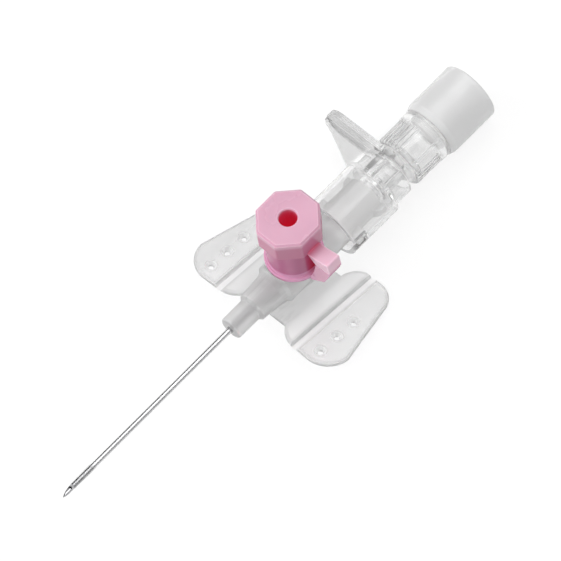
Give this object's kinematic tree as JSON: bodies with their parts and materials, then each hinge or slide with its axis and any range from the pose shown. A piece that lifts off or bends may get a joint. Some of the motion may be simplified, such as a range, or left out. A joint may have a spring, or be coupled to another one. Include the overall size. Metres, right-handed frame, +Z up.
{
  "type": "IV cannula",
  "caption": "Winged peripheral IV cannula with injection port and flip cap, needle with finger grip, flash chamber and vent plug.",
  "frame": {"origin": "on the table, under the middle of the cannula's bounding box, as it comes to rest", "axes": "+X along the cannula towards the needle's tip, +Z up from the table, +Y towards the wing on the cap's tab side; the needle's own axis rises by about 4 degrees towards the tip in the XZ plane"},
  "size_m": [0.0862, 0.029, 0.021],
  "materials": {
    "hub_plastic": "frosted translucent polypropylene",
    "tube_plastic": "clear smooth fluoropolymer",
    "steel": "smooth drawn stainless steel",
    "silicone": "milky soft silicone",
    "collar_plastic": "satin pink polypropylene",
    "cap_plastic": "satin pink polypropylene",
    "clear_plastic": "clear polished moulding",
    "plug_plastic": "smooth white moulding",
    "filter_paper": "porous sintered disc"
  },
  "bodies": {
    "cannula": {"catheter_hub": "hub_plastic", "catheter_tube": "tube_plastic", "catheter_ferrule": "steel", "port_valve": "silicone"},
    "collar": {"port_collar": "collar_plastic"},
    "cap": {"port_cap": "cap_plastic"},
    "needle set": {"needle": "steel", "needle_hub": "clear_plastic"},
    "vent plug": {"vent_plug": "plug_plastic", "vent_filter": "filter_paper"}
  },
  "joints": [
    {"name": "collar_swivel", "type": "hinge", "parent": "cannula", "child": "collar", "pos_m": [-0.00616, 0, 0.01296], "axis": [-0.0611, 0, 0.9981], "range_deg": [-40, 40]},
    {"name": "cap_flip", "type": "hinge", "parent": "collar", "child": "cap", "pos_m": [-0.0063, 0.00838, 0.01537], "axis": [-0.9981, 0, -0.0611], "range_deg": [0, 135]},
    {"name": "needle_withdraw", "type": "slide", "parent": "cannula", "child": "needle set", "axis": [-0.9981, 0, -0.0611], "range_m": [0, 0.07]},
    {"name": "plug_pull", "type": "slide", "parent": "needle set", "child": "vent plug", "axis": [-0.9981, 0, -0.0611], "range_m": [0, 0.009]}
  ]
}
